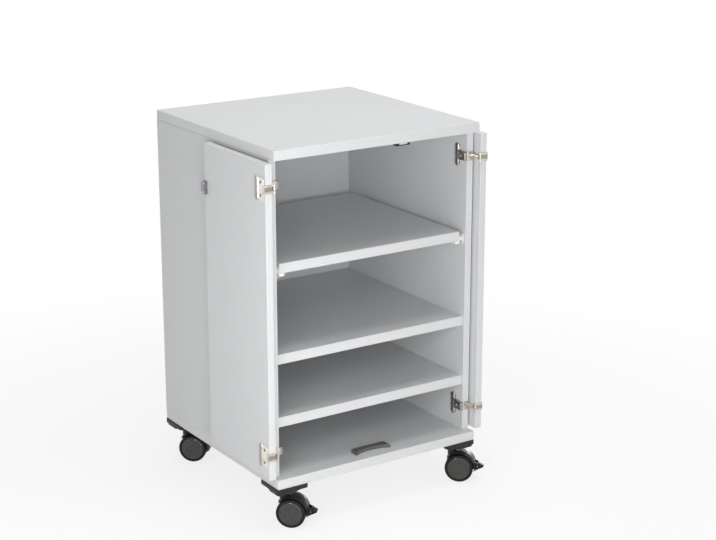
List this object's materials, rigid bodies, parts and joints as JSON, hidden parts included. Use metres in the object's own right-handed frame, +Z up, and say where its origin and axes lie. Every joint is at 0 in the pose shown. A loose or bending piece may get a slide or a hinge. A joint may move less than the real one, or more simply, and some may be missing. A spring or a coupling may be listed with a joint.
{
  "type": "multimedia cart",
  "caption": "Light grey cabinet on swivel casters with folding-back doors, fixed shelves and a pull-out shelf for presentation equipment.",
  "frame": {"origin": "on the floor, under the middle of the cabinet's outline", "axes": "+Z up, -Y towards the doors, +X to the right as seen from the doors"},
  "size_m": [0.6605, 0.6174, 0.964],
  "materials": {
    "grey_melamine": "light grey melamine-faced board, satin",
    "hinge_steel": "nickel-plated pressed steel",
    "runner_white": "white powder coat",
    "bracket_plastic": "black moulded",
    "hood_plastic": "black moulded, semi-gloss",
    "wheel_plastic": "black moulded wheels",
    "stop_plastic": "dark grey moulded",
    "lock_metal": "blue-grey zinc"
  },
  "bodies": {
    "cabinet": {"top_panel": "grey_melamine", "bottom_panel": "grey_melamine", "left_side_panel": "grey_melamine", "right_side_panel": "grey_melamine", "back_panel": "grey_melamine", "upper_shelf": "grey_melamine", "lower_shelf": "grey_melamine", "left_cabinet_runner": "runner_white", "right_cabinet_runner": "runner_white", "door_stop": "stop_plastic", "top_catch": "bracket_plastic", "left_lower_hinge_arm": "hinge_steel", "left_upper_hinge_arm": "hinge_steel", "left_front_bracket": "bracket_plastic", "left_rear_bracket": "bracket_plastic", "right_lower_hinge_arm": "hinge_steel", "right_upper_hinge_arm": "hinge_steel", "right_front_bracket": "bracket_plastic", "right_rear_bracket": "bracket_plastic"},
    "pull_out": {"pull_out_shelf": "grey_melamine", "left_shelf_runner": "runner_white", "right_shelf_runner": "runner_white"},
    "left_door": {"left_door": "grey_melamine", "left_lower_hinge_leaf": "hinge_steel", "left_upper_hinge_leaf": "hinge_steel", "door_lock": "lock_metal"},
    "right_door": {"right_door": "grey_melamine", "right_lower_hinge_leaf": "hinge_steel", "right_upper_hinge_leaf": "hinge_steel"},
    "left_front_caster": {"left_front_caster_hood": "hood_plastic"},
    "left_front_wheels": {"left_front_wheels": "wheel_plastic"},
    "left_brake_pedal": {"left_brake_pedal": "hood_plastic"},
    "right_front_caster": {"right_front_caster_hood": "hood_plastic"},
    "right_front_wheels": {"right_front_wheels": "wheel_plastic"},
    "right_brake_pedal": {"right_brake_pedal": "hood_plastic"},
    "left_rear_caster": {"left_rear_caster_hood": "hood_plastic"},
    "left_rear_wheels": {"left_rear_wheels": "wheel_plastic"},
    "right_rear_caster": {"right_rear_caster_hood": "hood_plastic"},
    "right_rear_wheels": {"right_rear_wheels": "wheel_plastic"}
  },
  "joints": [
    {"name": "pull_out_slide", "type": "slide", "parent": "cabinet", "child": "pull_out", "axis": [0, 1, 0], "range_m": [-0.373, 0]},
    {"name": "left_door_hinge", "type": "hinge", "parent": "cabinet", "child": "left_door", "pos_m": [-0.301, -0.28627, 0.538], "axis": [0, 0, 1], "range_deg": [0, 270]},
    {"name": "right_door_hinge", "type": "hinge", "parent": "cabinet", "child": "right_door", "pos_m": [0.301, -0.28627, 0.538], "axis": [0, 0, -1], "range_deg": [0, 270]},
    {"name": "left_front_swivel", "type": "hinge", "parent": "cabinet", "child": "left_front_caster", "pos_m": [-0.26, -0.24427, 0.092], "axis": [0, 0, 1], "continuous": true},
    {"name": "left_front_roll", "type": "hinge", "parent": "left_front_caster", "child": "left_front_wheels", "pos_m": [-0.24489, -0.25886, 0.0375], "axis": [0.6947, 0.7193, 0], "continuous": true},
    {"name": "left_brake_press", "type": "hinge", "parent": "left_front_caster", "child": "left_brake_pedal", "pos_m": [-0.21001, -0.29255, 0.0405], "axis": [0.6947, 0.7193, 0], "range_deg": [0, 20]},
    {"name": "right_front_swivel", "type": "hinge", "parent": "cabinet", "child": "right_front_caster", "pos_m": [0.26, -0.24427, 0.092], "axis": [0, 0, 1], "continuous": true},
    {"name": "right_front_roll", "type": "hinge", "parent": "right_front_caster", "child": "right_front_wheels", "pos_m": [0.27511, -0.25886, 0.0375], "axis": [0.6947, 0.7193, 0], "continuous": true},
    {"name": "right_brake_press", "type": "hinge", "parent": "right_front_caster", "child": "right_brake_pedal", "pos_m": [0.30999, -0.29255, 0.0405], "axis": [0.6947, 0.7193, 0], "range_deg": [0, 20]},
    {"name": "left_rear_swivel", "type": "hinge", "parent": "cabinet", "child": "left_rear_caster", "pos_m": [-0.26, 0.26573, 0.092], "axis": [0, 0, 1], "continuous": true},
    {"name": "left_rear_roll", "type": "hinge", "parent": "left_rear_caster", "child": "left_rear_wheels", "pos_m": [-0.24489, 0.25114, 0.0375], "axis": [0.6947, 0.7193, 0], "continuous": true},
    {"name": "right_rear_swivel", "type": "hinge", "parent": "cabinet", "child": "right_rear_caster", "pos_m": [0.26, 0.26573, 0.092], "axis": [0, 0, 1], "continuous": true},
    {"name": "right_rear_roll", "type": "hinge", "parent": "right_rear_caster", "child": "right_rear_wheels", "pos_m": [0.27511, 0.25114, 0.0375], "axis": [0.6947, 0.7193, 0], "continuous": true}
  ]
}
